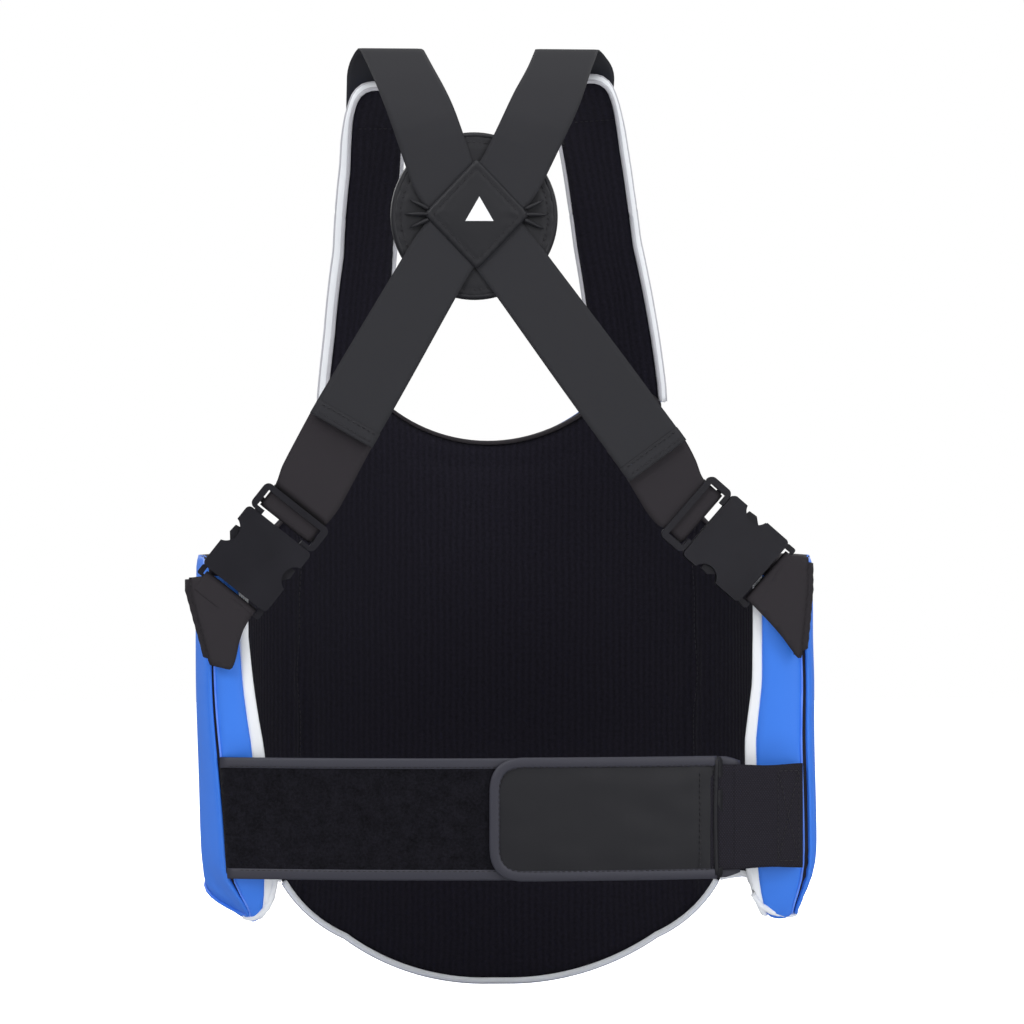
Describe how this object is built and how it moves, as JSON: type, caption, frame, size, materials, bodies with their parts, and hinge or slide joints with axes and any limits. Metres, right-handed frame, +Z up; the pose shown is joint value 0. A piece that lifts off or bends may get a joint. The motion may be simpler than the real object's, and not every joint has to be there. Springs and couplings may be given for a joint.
{
  "type": "chest protector",
  "caption": "Padded wrap-round body protector with two shoulder panels, a crossed elastic harness with side-release buckles and a hook-and-loop waist belt.",
  "frame": {"origin": "the wearer's torso axis at the mid-height of the waist belt", "axes": "+Z up along the torso, -Y out of the front of the protector, +X to the wearer's left"},
  "size_m": [0.5123, 0.3238, 0.7842],
  "materials": {
    "black_mesh": "ribbed knitted mesh, matt",
    "foam": "closed-cell foam, matt",
    "blue_leather": "smooth coated leather, satin",
    "white_leather": "smooth coated leather, satin",
    "grey_piping": "rolled coated leather, satin",
    "white_print": "printed film",
    "black_plastic": "moulded, fine texture",
    "black_elastic": "woven elastic, matt",
    "black_webbing": "woven webbing, matt",
    "loop_fabric": "brushed loop pile",
    "hook_tape": "moulded hooks",
    "dark_binding": "folded coated leather, satin",
    "black_leather": "smooth coated leather, glossy"
  },
  "bodies": {
    "torso": {"back_diamond_patch": "black_leather", "back_disc_cover": "black_leather", "back_disc_edge": "black_leather", "back_disc_foam": "foam", "back_disc_lining": "black_mesh", "body_foam": "foam", "body_lining": "black_mesh", "chest_pad": "white_leather", "front_cover": "blue_leather", "left_buckle_female": "black_plastic", "left_lower_webbing_loop": "black_webbing", "left_rim_binding": "white_leather", "left_rim_groove_strip": "black_leather", "left_rim_wall": "blue_leather", "left_shoulder_binding": "white_leather", "left_shoulder_cover": "blue_leather", "left_shoulder_foam": "foam", "left_shoulder_lining": "black_mesh", "left_side_cover": "blue_leather", "left_to_right_harness_strap": "black_elastic", "lower_belly_pad": "blue_leather", "middle_belly_pad": "blue_leather", "neck_and_armhole_edge_wall": "blue_leather", "right_buckle_female": "black_plastic", "right_lower_webbing_loop": "black_webbing", "right_rim_binding": "white_leather", "right_rim_groove_strip": "black_leather", "right_rim_wall": "blue_leather", "right_shoulder_binding": "white_leather", "right_shoulder_cover": "blue_leather", "right_shoulder_foam": "foam", "right_shoulder_lining": "black_mesh", "right_side_cover": "blue_leather", "right_to_left_harness_strap": "black_elastic", "size_mark": "white_print", "tongue_edge_wall": "blue_leather", "tongue_pad": "white_leather", "tongue_piping": "grey_piping", "upper_belly_pad": "blue_leather"},
    "left_male": {"left_buckle_male": "black_plastic", "left_adjuster_webbing": "black_webbing"},
    "right_male": {"right_buckle_male": "black_plastic", "right_adjuster_webbing": "black_webbing"},
    "elastic_end": {"waist_elastic": "black_elastic"},
    "tab": {"waist_tab_leather": "black_leather", "waist_tab_binding": "dark_binding", "waist_hook_patch": "hook_tape"},
    "loop_end": {"waist_loop_panel": "loop_fabric", "waist_loop_upper_binding": "dark_binding", "waist_loop_lower_binding": "dark_binding"},
    "left_upper_prong": {"left_buckle_prong_upper": "black_plastic"},
    "left_lower_prong": {"left_buckle_prong_lower": "black_plastic"},
    "right_upper_prong": {"right_buckle_prong_upper": "black_plastic"},
    "right_lower_prong": {"right_buckle_prong_lower": "black_plastic"}
  },
  "joints": [
    {"name": "left_buckle_release", "type": "slide", "parent": "torso", "child": "left_male", "axis": [-0.6211, 0, 0.7837], "range_m": [0, 0.035], "deforming": ["left_buckle_prong_upper", "left_buckle_prong_lower"]},
    {"name": "left_upper_prong_squeeze", "type": "hinge", "parent": "left_male", "child": "left_upper_prong", "pos_m": [0.20761, 0.0903, 0.23756], "axis": [0, 1, 0], "range_deg": [0, 7], "stiffness_Nm_per_rad": 2},
    {"name": "left_lower_prong_squeeze", "type": "hinge", "parent": "left_male", "child": "left_lower_prong", "pos_m": [0.17313, 0.0903, 0.21023], "axis": [0, -1, 0], "range_deg": [0, 7], "stiffness_Nm_per_rad": 2},
    {"name": "right_buckle_release", "type": "slide", "parent": "torso", "child": "right_male", "axis": [0.7547, 0, 0.6561], "range_m": [0, 0.035], "deforming": ["right_buckle_prong_upper", "right_buckle_prong_lower"]},
    {"name": "right_upper_prong_squeeze", "type": "hinge", "parent": "right_male", "child": "right_upper_prong", "pos_m": [-0.17754, 0.0903, 0.24572], "axis": [0, -1, 0], "range_deg": [0, 7], "stiffness_Nm_per_rad": 2},
    {"name": "right_lower_prong_squeeze", "type": "hinge", "parent": "right_male", "child": "right_lower_prong", "pos_m": [-0.14868, 0.0903, 0.21252], "axis": [0, 1, 0], "range_deg": [0, 7], "stiffness_Nm_per_rad": 2},
    {"name": "waist_elastic_swing", "type": "hinge", "parent": "torso", "child": "elastic_end", "pos_m": [-0.237, 0.08541, 0], "axis": [0, 0, 1], "range_deg": [0, 100]},
    {"name": "waist_tab_peel", "type": "hinge", "parent": "elastic_end", "child": "tab", "pos_m": [-0.1778, 0.10308, 0], "axis": [0, 0, 1], "range_deg": [0, 140]},
    {"name": "waist_loop_swing", "type": "hinge", "parent": "torso", "child": "loop_end", "pos_m": [0.237, 0.08165, 0], "axis": [0, 0, -1], "range_deg": [0, 12]}
  ],
  "couplings": [
    {"joint": "left_lower_prong_squeeze", "follows": "left_upper_prong_squeeze", "ratio": 1},
    {"joint": "right_lower_prong_squeeze", "follows": "right_upper_prong_squeeze", "ratio": 1},
    {"joint": "waist_loop_swing", "follows": "waist_elastic_swing", "ratio": 0.12}
  ]
}
